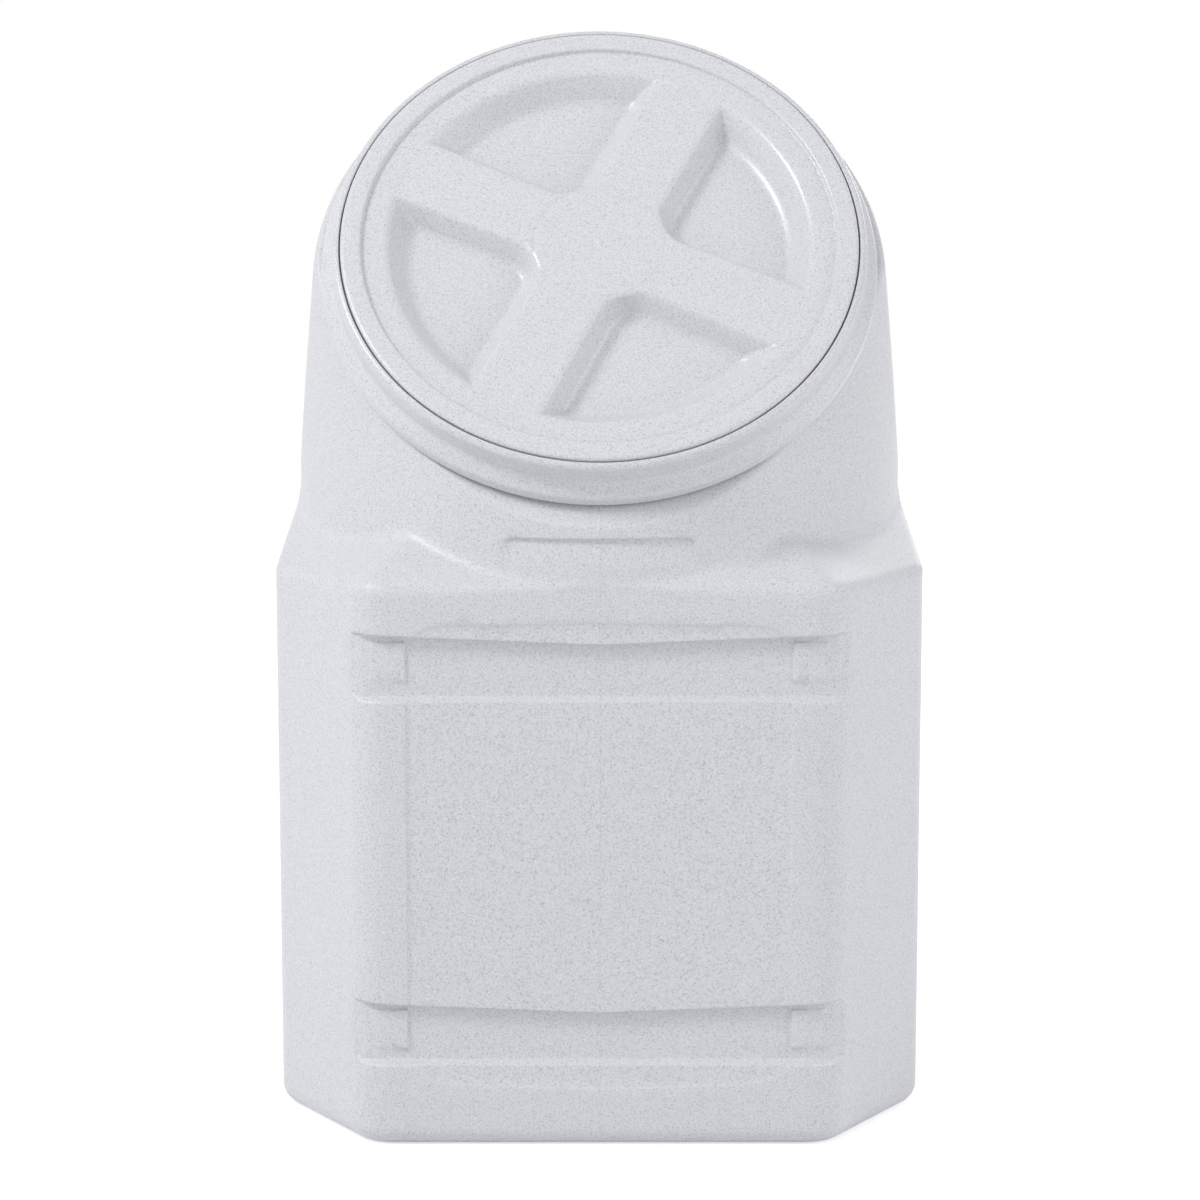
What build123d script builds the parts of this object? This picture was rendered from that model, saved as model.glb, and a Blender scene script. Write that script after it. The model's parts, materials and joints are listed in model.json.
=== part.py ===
from build123d import *
import os
from math import atan, cos, radians, sin, sqrt, tan

# Pet food storage container: a blow-moulded bin with a tilted round neck, a threaded collar that
# snaps over the neck, and a large screw lid with a cross-shaped handle in a recess.
# Millimetres, +Z up, front towards -Y, origin under the middle of the whole object.

# Lower box of the container
body_width = 340.0
body_depth = 334.0
corner_width = 51.0          # bevelled upright corners, across the front
corner_depth = 77.0          # and from front to back
upright_radius = 24.0        # rounding of the upright edges
base_radius = 10.0           # rounding round the base
wall = 3.0

# Standing rim round the raised middle of the base
rim_width = 34.0             # from the outline in to the raised middle
base_rise = 3.0

# Sloping shoulder on top of the box
shoulder_height = 289.0
front_slope = 37.0           # degrees from level, shoulder behind the front and back faces
corner_slope = 33.0          # over the bevelled corners
side_slope = 78.0            # over the sides
shoulder_reach = 52.0        # how far up the sloping faces are carried inside the round body

# Round upper body
round_radius = 163.0
round_setback = 0.8          # the round body stands this far behind the front face

# Tilted lid: elevation of its axis above level, and the middle of its flange top
lid_elevation = 37.4
lid_back = 72.5              # behind the front face
lid_height = 461.0

# Levels along the tilted axis, measured down from the top of the lid's flange
shoulder_level = 28.5
collar_gap = 1.5             # between the collar's lower edge and the body's shoulder
neck_radius = 149.5          # tilted shoulder of the body, at its top edge
neck_taper_rate = 0.12       # radius gained per millimetre down the axis
neck_edge_radius = 4.0
neck_length = 262.0          # how far the tilted form is carried back into the body

# Reinforcing channels across the front and the back
channel_levels = ((231.5, 261.5), (43.0, 72.0))
channel_half_length = 125.0
channel_depth = 5.0
channel_corner = 6.0
pad_width = 17.0
pad_drop = 3.0               # pad's top edge below the channel's top edge
pad_height = 20.5
pad_inner_edge = 98.0
pad_thickness = 2.0

# Shallow panel on the front for a label, and the small ledge on the round body above it
label_half_width = 97.0
label_bottom = 32.0
label_top = 270.5
label_corner = 14.0
label_depth = 0.8
ledge_width = 95.0
ledge_bottom = 304.0
ledge_top = 313.8
ledge_depth = 1.2

# Lid
flange_radius = 133.5
flange_thickness = 4.8
flange_edge_radius = 1.6
step_radius = 122.8
step_drop = 2.2
recess_radius = 109.6
ring_dish = 0.7
recess_floor = 16.0          # below the flange's top
recess_floor_radius = 99.0
lid_wall = 2.6
skirt_inner_radius = 119.5
skirt_outer_radius = 122.5
skirt_length = 27.5          # down from the flange's top

# Cross-shaped handle in the recess
handle_top = 3.1             # below the flange's top
handle_angle = 64.1          # first arm, degrees in the lid's plane
arm_half_width = 17.4        # at the hub
arm_flare = 0.75             # degrees each side, widening outwards
hub_radius = 34.7
handle_draft = 31.0

# Thread
thread_lead = 12.0
thread_turns = 1.25
thread_base = 4.5
thread_crest = 2.5
thread_height = 2.0
thread_clearance = 0.5       # radial, crest to root
thread_sink = 0.3            # how far the ridge is rooted in its wall
lid_thread_low = 23.5        # middle of the ridge's lower end, down from the flange's top
collar_thread_low = 24.2

# Collar
collar_wall = 2.5
flange_gap = 0.8             # round the lid's flange
seat_gap = 0.8               # under the lid's flange
seat_thickness = 3.0
rim_drop = 1.5               # collar's top edge below the flange's top
collar_radius = 138.0
collar_rim_radius = 3.0
flare_radius = 144.5
flare_start = 15.0
flare_end = 20.0
flare_wall = 3.0

# Neck spigot under the collar, and its snap bead
spigot_clearance = 0.4
spigot_wall = 4.0
bead_height = 1.3
bead_length = 3.0
bead_level = 16.5            # middle of the bead

# Seals
seal_height = 2.6            # lid seal
seal_width = 3.5
seal_side_clearance = 0.3
collar_seal_height = 2.5
collar_seal_width = 3.2

# Worked out from the above
elevation = radians(lid_elevation)
axis_back = cos(elevation)
axis_up = sin(elevation)
collar_front = (collar_radius - collar_rim_radius) * axis_up + collar_rim_radius
overhang = collar_front - lid_back - (rim_drop + collar_rim_radius) * axis_back
front_y = overhang - (body_depth + overhang) / 2
back_y = front_y + body_depth
round_y = front_y + round_radius + round_setback
lid_centre = Vector(0, front_y + lid_back, lid_height)
lid_axis = Axis(lid_centre, (0, -axis_back, axis_up))
lid_plane = Plane(origin=lid_centre, x_dir=(1, 0, 0), z_dir=(0, -axis_back, axis_up))
profile_plane = Plane(origin=lid_centre, x_dir=(1, 0, 0), z_dir=(0, -axis_up, -axis_back))
seat_level = flange_thickness + seat_gap
collar_bore = skirt_outer_radius + thread_height + thread_clearance
collar_inner_outside = collar_bore + collar_wall
spigot_radius = collar_inner_outside + spigot_clearance
spigot_outside = spigot_radius + spigot_wall
web_underside = seat_level + seat_thickness
spigot_top = web_underside + collar_seal_height
collar_bottom = shoulder_level - collar_gap
skirt_bore = spigot_outside + spigot_clearance
seal_radius = (collar_bore + flange_radius) / 2
collar_seal_radius = (spigot_radius + spigot_outside) / 2
through = 5.0                # how far a cutter runs past the faces it opens


def outline(inset):
    """Corners of the box's plan, half of it in front and half behind, drawn in by inset."""
    middle_y = (front_y + back_y) / 2
    half_width = body_width / 2 - inset
    half_depth = body_depth / 2 - inset
    # A bevel moved in by inset meets the moved faces at these points.
    slant = sqrt(corner_width**2 + corner_depth**2)
    reach = body_width / 2 * corner_depth + (body_depth / 2 - corner_depth) * corner_width
    across = (reach - inset * slant - half_depth * corner_width) / corner_depth
    along = (reach - inset * slant - half_width * corner_depth) / corner_width
    quarter = [(half_width, along), (across, half_depth)]
    right = [(x, y) for x, y in quarter] + [(-x, y) for x, y in reversed(quarter)]
    return [(x, middle_y + y) for x, y in right] + [(-x, middle_y - y) for x, y in right]


def shoulder_planes(inset):
    """Sloping planes that close the box above, normals pointing out of the container."""
    middle_y = (front_y + back_y) / 2
    planes = []
    slant = sqrt(corner_width**2 + corner_depth**2)
    directions = [
        (0, -1, body_depth / 2, front_slope),
        (0, 1, body_depth / 2, front_slope),
        (1, 0, body_width / 2, side_slope),
        (-1, 0, body_width / 2, side_slope),
    ]
    reach = body_width / 2 * corner_depth + (body_depth / 2 - corner_depth) * corner_width
    for side in (1, -1):
        for end in (1, -1):
            normal_x = side * corner_depth / slant
            normal_y = end * corner_width / slant
            directions.append((normal_x, normal_y, reach / slant, corner_slope))
    for normal_x, normal_y, distance, slope in directions:
        run = sin(radians(slope))
        rise = cos(radians(slope))
        origin = Vector(
            normal_x * (distance - inset * run),
            middle_y + normal_y * (distance - inset * run),
            shoulder_height - inset * rise,
        )
        planes.append(Plane(origin=origin, z_dir=(normal_x * run, normal_y * run, rise)))
    return planes


def box_form(inset):
    """The lower box with its rounded base and sloping shoulder."""
    planes = shoulder_planes(inset)
    with BuildPart() as box:
        with BuildSketch(Plane.XY.offset(inset)):
            with BuildLine():
                Polyline(*outline(inset), close=True)
            make_face()
            fillet(vertices(), upright_radius - inset)
        extrude(amount=shoulder_height + shoulder_reach - 2 * inset)
        fillet(edges().group_by(Axis.Z)[0], base_radius - inset)
        for plane in planes:
            split(bisect_by=plane, keep=Keep.BOTTOM)
    return box.part


def upper_form(inset):
    """The round upper body, closed above by the tilted shoulder and a sloping arched roof."""
    level = -shoulder_level - inset
    edge = neck_radius - inset
    end_level = level - neck_length
    end_radius = edge + neck_taper_rate * neck_length
    # The seam of the round face is kept out of the planes that cut it.
    seam_plane = Plane(origin=(0, round_y, shoulder_height / 2), x_dir=(1, 1, 0), z_dir=(0, 0, 1))
    with BuildSketch(profile_plane) as half_profile:
        with BuildLine():
            Polyline((0, level), (edge, level), (end_radius, end_level), (0, end_level), close=True)
        make_face()
        fillet(vertices().sort_by_distance((edge, level))[0], neck_edge_radius)
    with BuildPart() as roof:
        add(half_profile.sketch)
        revolve(axis=lid_axis, revolution_arc=180)
        add(half_profile.sketch)
        add(half_profile.sketch.mirror(Plane.YZ))
        extrude(amount=2 * round_radius, dir=profile_plane.z_dir)
    with BuildPart() as upper:
        with BuildSketch(seam_plane):
            Circle(round_radius - inset)
        extrude(amount=lid_height)
        add(roof.part, mode=Mode.INTERSECT)
    return upper.part


def channel_form(low, high, side, inset):
    """One channel across the front (side -1) or the back (side 1), grown by inset."""
    face_y = front_y if side < 0 else back_y
    start = Plane(origin=(0, face_y + side * through, 0), x_dir=(1, 0, 0), z_dir=(0, -side, 0))
    flip = 1 if start.y_dir.Z > 0 else -1
    with BuildPart() as channel:
        with BuildSketch(start):
            with Locations((0, flip * (low + high) / 2)):
                RectangleRounded(
                    2 * (channel_half_length + inset),
                    high - low + 2 * inset,
                    channel_corner + inset,
                )
        extrude(amount=through + channel_depth + inset)
    return channel.part


def container_form(inset):
    """The whole container filled solid, drawn in by inset, with its channels pressed in."""
    box = box_form(inset)
    upper = upper_form(inset)
    channels = [
        channel_form(low, high, side, inset) for low, high in channel_levels for side in (-1, 1)
    ]
    with BuildPart() as form:
        add(box)
        add(upper)
        add(channels, mode=Mode.SUBTRACT)
        with BuildSketch(Plane.XY):
            with BuildLine():
                Polyline(*outline(rim_width - inset), close=True)
            make_face()
            fillet(vertices(), upright_radius)
        extrude(amount=base_rise + inset, mode=Mode.SUBTRACT)
    return form.part


def ring(inner, outer, low, high):
    """A plain ring about the lid's axis, levels counted down from the flange's top."""
    with BuildPart() as band:
        with BuildSketch(lid_plane.offset(-low)):
            Circle(outer)
            Circle(inner, mode=Mode.SUBTRACT)
        extrude(amount=low - high)
    return band.part


def thread_ridge(radius, height, low, start_angle):
    """A helical ridge rooted at radius; a negative height points to the axis."""
    sink = thread_sink if height > 0 else -thread_sink
    with BuildPart() as ridge:
        with BuildLine() as path:
            Helix(pitch=thread_lead, height=thread_lead * thread_turns, radius=radius)
        with BuildSketch(Plane(origin=path.line @ 0, x_dir=(1, 0, 0), z_dir=path.line % 0)):
            with BuildLine():
                Polyline(
                    (-sink, -thread_base / 2),
                    (0, -thread_base / 2),
                    (height, -thread_crest / 2),
                    (height, thread_crest / 2),
                    (0, thread_base / 2),
                    (-sink, thread_base / 2),
                    close=True,
                )
            make_face()
        sweep(path=path.line, is_frenet=True)
    return ridge.part.moved(lid_plane.offset(-low).location * Rotation(0, 0, start_angle))


# Container body: shell, neck spigot with its snap bead, and the open throat

outside_form = container_form(0)
inside_form = container_form(wall)

with BuildPart() as container_body:
    add(outside_form)
    with BuildSketch(profile_plane):
        with BuildLine():
            Polyline(
                (spigot_radius - wall, -shoulder_level - wall / 2),
                (spigot_outside, -shoulder_level - wall / 2),
                (spigot_outside, -bead_level - bead_length / 2),
                (spigot_outside + bead_height, -bead_level - bead_length / 6),
                (spigot_outside + bead_height, -bead_level + bead_length / 6),
                (spigot_outside, -bead_level + bead_length / 2),
                (spigot_outside, -spigot_top),
                (spigot_radius - wall, -spigot_top),
                close=True,
            )
        make_face()
    revolve(axis=lid_axis)
    add(inside_form, mode=Mode.SUBTRACT)
    with BuildSketch(lid_plane.offset(-shoulder_level - wall - through)):
        Circle(spigot_radius)
    extrude(amount=shoulder_level + wall + 2 * through, mode=Mode.SUBTRACT)
    # Label panel: shallow, with a rounded top and bottom
    with BuildSketch(Plane(origin=(0, front_y + label_depth, 0), x_dir=(1, 0, 0), z_dir=(0, -1, 0))):
        with Locations((0, (label_bottom + label_top) / 2)):
            RectangleRounded(2 * label_half_width, label_top - label_bottom, label_corner)
    extrude(amount=label_depth + through, mode=Mode.SUBTRACT)
    # Small ledge on the round body above the front face
    with BuildSketch(Plane.XY.offset(ledge_bottom)):
        with Locations((0, round_y)):
            Circle(round_radius + through)
            Circle(round_radius - ledge_depth, mode=Mode.SUBTRACT)
        with Locations((0, front_y)):
            Rectangle(ledge_width, round_radius, mode=Mode.INTERSECT)
    extrude(amount=ledge_top - ledge_bottom, mode=Mode.SUBTRACT)
    # Raised pads at the ends of the front channels
    for low, high in channel_levels:
        for side in (-1, 1):
            pad_x = side * (pad_inner_edge + pad_width / 2)
            pad_plane = Plane(
                origin=(pad_x, front_y + channel_depth, high - pad_drop - pad_height / 2),
                x_dir=(1, 0, 0),
                z_dir=(0, -1, 0),
            )
            with BuildSketch(pad_plane):
                Rectangle(pad_width, pad_height)
            extrude(amount=pad_thickness)
container_body.part.label = "container_body"

# Collar: seat for the lid, inner wall with the thread, outer wall that snaps over the neck

collar_thread_angle = 360 * ((lid_thread_low - collar_thread_low) / thread_lead - 0.5)
collar_thread = thread_ridge(collar_bore, -thread_height, collar_thread_low, collar_thread_angle)

with BuildPart() as threaded_collar:
    with BuildSketch(profile_plane):
        with BuildLine():
            Polyline(
                (collar_bore, -seat_level),
                (flange_radius + flange_gap, -seat_level),
                (flange_radius + flange_gap, -rim_drop),
                (collar_radius, -rim_drop),
                (collar_radius, -flare_start),
                (flare_radius, -flare_end),
                (flare_radius, -collar_bottom),
                (flare_radius - flare_wall, -collar_bottom),
                (flare_radius - flare_wall, -flare_end),
                (skirt_bore, -flare_end),
                (skirt_bore, -bead_level - bead_length / 2),
                (skirt_bore + bead_height, -bead_level - bead_length / 6),
                (skirt_bore + bead_height, -bead_level + bead_length / 6),
                (skirt_bore, -bead_level + bead_length / 2),
                (skirt_bore, -web_underside),
                (collar_inner_outside, -web_underside),
                (collar_inner_outside, -collar_bottom),
                (collar_bore, -collar_bottom),
                close=True,
            )
        make_face()
        fillet(vertices().sort_by_distance((collar_radius, -rim_drop))[0], collar_rim_radius)
    revolve(axis=lid_axis)
    add(collar_thread)
threaded_collar.part.label = "threaded_collar"

# Lid: flange, stepped ring, recess and threaded skirt, all of one wall thickness

recess_slope = atan((recess_floor - step_drop - ring_dish) / (recess_radius - recess_floor_radius))
wall_across = lid_wall / sin(recess_slope)
skirt_corner = skirt_inner_radius - lid_wall

with BuildPart() as pan:
    with BuildSketch(profile_plane):
        with BuildLine():
            Polyline(
                (0, -recess_floor),
                (recess_floor_radius, -recess_floor),
                (recess_radius, -step_drop - ring_dish),
                (step_radius - step_drop / 2, -step_drop),
                (step_radius, 0),
                (flange_radius - flange_edge_radius, 0),
                (flange_radius, -flange_edge_radius),
                (flange_radius, -flange_thickness),
                (skirt_outer_radius, -flange_thickness),
                (skirt_outer_radius, -skirt_length),
                (skirt_inner_radius, -skirt_length),
                (skirt_inner_radius, -step_drop - ring_dish - lid_wall),
                (recess_radius + wall_across, -step_drop - ring_dish - lid_wall),
                (recess_floor_radius + wall_across / 2, -recess_floor - lid_wall),
                (0, -recess_floor - lid_wall),
                close=True,
            )
        make_face()
    revolve(axis=lid_axis)


def cross_form(inset, foot):
    """The handle's cross with drafted sides, from its top down to the level foot."""
    depth = foot - handle_top - inset
    half = arm_half_width - inset
    spread = recess_radius * tan(radians(arm_flare))
    slack = wall_across * 0.7
    with BuildPart() as cross:
        with BuildSketch(lid_plane.offset(-handle_top - inset)):
            for arm in range(4):
                Polygon(
                    (0, -half),
                    (recess_radius + slack, -half - spread),
                    (recess_radius + slack, half + spread),
                    (0, half),
                    rotation=handle_angle + 90 * arm,
                    align=None,
                )
            Circle(hub_radius - inset)
        extrude(amount=-depth, taper=-handle_draft)
        # Kept inside the recess's own wall
        with BuildSketch(profile_plane):
            with BuildLine():
                Polyline(
                    (0, -handle_top),
                    (recess_radius + slack - inset, -handle_top),
                    (recess_floor_radius + slack - inset, -recess_floor),
                    (recess_floor_radius + slack - inset, -foot - through),
                    (0, -foot - through),
                    close=True,
                )
            make_face()
        revolve(axis=lid_axis, mode=Mode.INTERSECT)
    return cross.part


handle = cross_form(0, recess_floor + lid_wall / 2)
handle_hollow = cross_form(lid_wall, recess_floor + lid_wall + through)
lid_thread = thread_ridge(skirt_outer_radius, thread_height, lid_thread_low, 0)
seal_groove = ring(
    seal_radius - seal_width / 2 - seal_side_clearance,
    seal_radius + seal_width / 2 + seal_side_clearance,
    seat_level - seal_height,
    flange_thickness + through,
)

with BuildPart() as screw_lid:
    add(pan.part)
    add(handle)
    add(handle_hollow, mode=Mode.SUBTRACT)
    add(lid_thread)
    add(seal_groove, mode=Mode.SUBTRACT)
screw_lid.part.label = "screw_lid"

# Seals

with BuildPart() as lid_seal:
    with BuildSketch(lid_plane.offset(-seat_level)):
        Circle(seal_radius + seal_width / 2)
        Circle(seal_radius - seal_width / 2, mode=Mode.SUBTRACT)
    extrude(amount=seal_height)
lid_seal.part.label = "lid_seal"

with BuildPart() as collar_seal:
    with BuildSketch(lid_plane.offset(-spigot_top)):
        Circle(collar_seal_radius + collar_seal_width / 2)
        Circle(collar_seal_radius - collar_seal_width / 2, mode=Mode.SUBTRACT)
    extrude(amount=collar_seal_height)
collar_seal.part.label = "collar_seal"

os.makedirs("parts", exist_ok=True)
export_step(container_body.part, "parts/container_body.step")
export_step(threaded_collar.part, "parts/threaded_collar.step")
export_step(screw_lid.part, "parts/screw_lid.step")
export_step(lid_seal.part, "parts/lid_seal.step")
export_step(collar_seal.part, "parts/collar_seal.step")
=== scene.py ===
import json
import math
from functools import reduce

import bpy
import numpy as np
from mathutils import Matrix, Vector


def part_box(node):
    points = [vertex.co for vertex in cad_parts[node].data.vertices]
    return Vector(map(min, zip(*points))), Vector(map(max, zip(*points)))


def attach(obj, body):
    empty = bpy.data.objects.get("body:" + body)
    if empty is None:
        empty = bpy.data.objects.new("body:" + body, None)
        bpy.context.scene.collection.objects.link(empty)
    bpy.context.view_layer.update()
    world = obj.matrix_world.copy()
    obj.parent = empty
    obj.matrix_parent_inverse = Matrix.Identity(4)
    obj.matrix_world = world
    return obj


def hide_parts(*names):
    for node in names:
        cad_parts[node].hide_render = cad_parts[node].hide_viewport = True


bl_info = {
    "name": "Pet food storage container",
    "version": (1, 0, 0),
    "blender": (4, 5, 0),
    "location": "View3D > Sidebar > Container",
    "description": "Builds a moulded food container with a tilted screw lid around its frame",
    "category": "Object",
}

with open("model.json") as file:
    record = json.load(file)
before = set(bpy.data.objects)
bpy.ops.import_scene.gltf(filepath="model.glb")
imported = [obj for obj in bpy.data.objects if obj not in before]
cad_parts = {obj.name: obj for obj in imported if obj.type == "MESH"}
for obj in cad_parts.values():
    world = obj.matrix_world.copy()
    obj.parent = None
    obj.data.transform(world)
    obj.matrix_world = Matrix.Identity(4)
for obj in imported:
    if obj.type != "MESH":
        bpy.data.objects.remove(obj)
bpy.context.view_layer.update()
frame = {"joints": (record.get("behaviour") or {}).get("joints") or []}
MILLIMETRE = 0.001

# The frame's own places: the lid's axis from the thread joint, and the body's box
screw_joint = next(j for j in frame["joints"] if j["name"] == "lid_unscrew")
LID_CENTRE = np.array(screw_joint["pos_m"]) / MILLIMETRE
LID_NORMAL = np.array(screw_joint["axis"])
LID_UP = np.array([0.0, LID_NORMAL[2], -LID_NORMAL[1]])
body_low, body_high = (np.array(corner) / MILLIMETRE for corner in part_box("container_body"))
FRONT_Y = body_low[1]
BACK_Y = body_high[1]
HALF_WIDTH = body_high[0]


# Properties that a user would change

class ContainerSizes(bpy.types.PropertyGroup):
    """Roundings and mesh fineness of the container, in millimetres"""

    upright_radius: bpy.props.FloatProperty(
        name="Upright edges", description="Rounding of the upright edges in mm",
        default=24.0, min=1.0,
    )
    base_radius: bpy.props.FloatProperty(
        name="Base edge", description="Rounding round the base in mm", default=10.0, min=1.0
    )
    shoulder_radius: bpy.props.FloatProperty(
        name="Shoulder edge", description="Rounding at the top of the box in mm",
        default=9.0, min=1.0,
    )
    blend_radius: bpy.props.FloatProperty(
        name="Shoulder blend", description="Hollow rounding where box meets neck in mm", default=9.0
    )
    roof_radius: bpy.props.FloatProperty(
        name="Roof edge", description="Rounding between roof and back wall in mm", default=26.0
    )
    body_cell: bpy.props.FloatProperty(
        name="Body cell", description="Spacing of the body's mesh in mm", default=2.2, min=1.0
    )
    lid_cell: bpy.props.FloatProperty(
        name="Lid cell", description="Spacing of the lid's mesh in mm", default=1.1, min=0.5
    )
    turn_steps: bpy.props.IntProperty(
        name="Steps per turn", description="Segments of the turned rings", default=288, min=48
    )


class ContainerFinish(bpy.types.PropertyGroup):
    """Colours and speckle of the plastic"""

    base_colour: bpy.props.FloatVectorProperty(
        name="Plastic", description="Base colour of the plastic", subtype="COLOR", size=3,
        default=(0.655, 0.662, 0.698), min=0.0, max=1.0,
    )
    speck_colour: bpy.props.FloatVectorProperty(
        name="Specks", description="Colour of the dark specks", subtype="COLOR", size=3,
        default=(0.30, 0.31, 0.36), min=0.0, max=1.0,
    )
    speck_size: bpy.props.FloatProperty(
        name="Speck size", description="Mean distance of the specks", default=0.00085, unit="LENGTH"
    )
    rubber_colour: bpy.props.FloatVectorProperty(
        name="Rubber", description="Colour of the seals", subtype="COLOR", size=3,
        default=(0.03, 0.03, 0.033), min=0.0, max=1.0,
    )


# Fields: signed distances in millimetres, negative inside

def round_max(radius, *fields):
    """Where all the fields are inside, with outer edges rounded to radius."""
    deepest = np.minimum(reduce(np.maximum, fields), -radius)
    return deepest + np.sqrt(sum(np.maximum(f + radius, 0.0) ** 2 for f in fields))


def round_min(radius, *fields):
    """Where any of the fields is inside, with hollow edges rounded to radius."""
    return -round_max(radius, *[-f for f in fields])


def ramp(value, start, end):
    """0 before start, 1 after end, smooth between."""
    t = np.clip((value - start) / (end - start), 0.0, 1.0)
    return t * t * (3.0 - 2.0 * t)


# The body's form, in millimetres: a bevelled box, and a round upper body with a tilted shoulder

CORNER_WIDTH = 51.0
CORNER_DEPTH = 77.0
SHOULDER_HEIGHT = 289.0
FRONT_SLOPE = math.radians(37.0)
CORNER_SLOPE = math.radians(33.0)
SIDE_SLOPE = math.radians(78.0)
ROUND_RADIUS = 163.0
ROUND_SETBACK = 0.1
ROUND_Y = FRONT_Y + ROUND_RADIUS + ROUND_SETBACK
NECK_RADIUS = 149.5
NECK_TAPER = 0.12
NECK_EDGE = 3.0
SHOULDER_LEVEL = 28.5
WALL = 3.0
FRONT_EDGE = 1.2
FRONT_EDGE_FADE = (25.0, 90.0)
SLOPE_EDGE_SHARE = 1.5
UPPER_FOOT = SHOULDER_HEIGHT * 0.75


def lid_coordinates(x, y, z):
    """Across, up the slope and along the lid's axis, from the middle of the flange's top."""
    down_y = y - LID_CENTRE[1]
    down_z = z - LID_CENTRE[2]
    up = down_y * LID_UP[1] + down_z * LID_UP[2]
    level = down_y * LID_NORMAL[1] + down_z * LID_NORMAL[2]
    return x, up, level


def arc_between(radius, cosine, first, second):
    """Where both fields are inside, with the edge between them rounded to a true radius."""
    a = first + radius
    b = second + radius
    wedge = np.maximum(1.0 - cosine * cosine, 1e-4)
    arc = np.sqrt(np.maximum(a * a + b * b - 2.0 * a * b * cosine, 0.0) / wedge)
    between = (a > b * cosine) & (b > a * cosine)
    return np.where(between, arc, np.maximum(a, b)) - radius


BEVEL = math.hypot(CORNER_WIDTH, CORNER_DEPTH)
SIDE, CORNER, END = (1.0, 0.0), (CORNER_DEPTH / BEVEL, CORNER_WIDTH / BEVEL), (0.0, 1.0)


def box_field(x, y, z, inset, sizes):
    """The lower box with bevelled corners and its sloping shoulder, and its normal's parts."""
    middle_y = (FRONT_Y + BACK_Y) / 2
    across = np.abs(x)
    along = np.abs(y - middle_y)
    half_depth = (BACK_Y - FRONT_Y) / 2
    reach = HALF_WIDTH * CORNER[0] + (half_depth - CORNER_DEPTH) * CORNER[1]
    rise = z - SHOULDER_HEIGHT
    walls, slopes = [], []
    for (nx, ny), distance, slope in (
        (SIDE, HALF_WIDTH, SIDE_SLOPE),
        (CORNER, reach, CORNER_SLOPE),
        (END, half_depth, FRONT_SLOPE),
    ):
        gap = across * nx + along * ny - distance
        walls.append((gap + inset, (nx, ny, 0.0)))
        run, lift = math.sin(slope), math.cos(slope)
        slopes.append((gap * run + rise * lift + inset, (nx * run, ny * run, lift)))
    upright = sizes.upright_radius - inset
    shoulder = sizes.shoulder_radius - inset / 2
    pairs = (
        (upright, walls[0], walls[1]),
        (shoulder, walls[0], slopes[0]),
        (shoulder, slopes[0], slopes[1]),
        (upright, walls[1], walls[2]),
        (SLOPE_EDGE_SHARE * shoulder, slopes[1], slopes[2]),
    )
    rounded = [
        arc_between(radius, sum(p * q for p, q in zip(m, n)), f, g)
        for radius, (f, m), (g, n) in pairs
    ]
    # The front top edge is sharper in the middle, where the round body meets it
    edge = FRONT_EDGE + (shoulder - FRONT_EDGE) * ramp(across, *FRONT_EDGE_FADE)
    edge_cosine = (math.sin(FRONT_SLOPE) + math.sin(CORNER_SLOPE)) / 2
    front_edge = arc_between(edge, edge_cosine, rounded[3], rounded[4])
    field = reduce(np.maximum, [*rounded[:3], front_edge])
    faces = walls + slopes
    steepest = np.argmax([f for f, _ in faces], axis=0)
    normal = [np.array([n[k] for _, n in faces], np.float32)[steepest] for k in range(3)]
    normal[0] = normal[0] * np.sign(x)
    normal[1] = normal[1] * np.sign(y - middle_y)
    return round_max(sizes.base_radius - inset, field, inset - z), normal


def upper_field(x, y, z, inset, sizes):
    """The round upper body under the tilted shoulder and sloping roof, and its normal's parts."""
    across, up, level = lid_coordinates(x, y, z)
    turned_y = y - ROUND_Y
    around = np.maximum(np.hypot(x, turned_y), 1e-3)
    barrel = around - ROUND_RADIUS + inset
    barrel_normal = (x / around, turned_y / around, 0.0 * x)
    rise = np.maximum(up, 0.0)
    spread = np.maximum(np.hypot(across, rise), 1e-3)
    lean = math.cos(math.atan(NECK_TAPER))
    arch = (spread - NECK_RADIUS + NECK_TAPER * (SHOULDER_LEVEL + level)) * lean + inset
    arch_normal = [
        (across / spread * side + rise / spread * u + NECK_TAPER * n) * lean
        for side, u, n in zip((1.0, 0.0, 0.0), LID_UP, LID_NORMAL)
    ]
    cosine = sum(p * q for p, q in zip(barrel_normal, arch_normal))
    walls = arc_between(sizes.roof_radius - inset, cosine, barrel, arch)
    normal = [np.where(barrel > arch, p, q) for p, q in zip(barrel_normal, arch_normal)]
    cosine = sum(p * q for p, q in zip(normal, LID_NORMAL))
    field = arc_between(NECK_EDGE, cosine, walls, level + SHOULDER_LEVEL + inset)
    # The round body ends inside the box, well above the floor
    return np.maximum(field, UPPER_FOOT - z), normal


def form_field(x, y, z, inset, sizes):
    """Box and upper body in one, with a hollow rounding where they meet at an angle."""
    box, box_normal = box_field(x, y, z, inset, sizes)
    upper, upper_normal = upper_field(x, y, z, inset, sizes)
    cosine = sum(p * q for p, q in zip(box_normal, upper_normal))
    return -arc_between(sizes.blend_radius, cosine, -box, -upper)


# Channels, pads, label panel and small ledge pressed into the front

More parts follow.
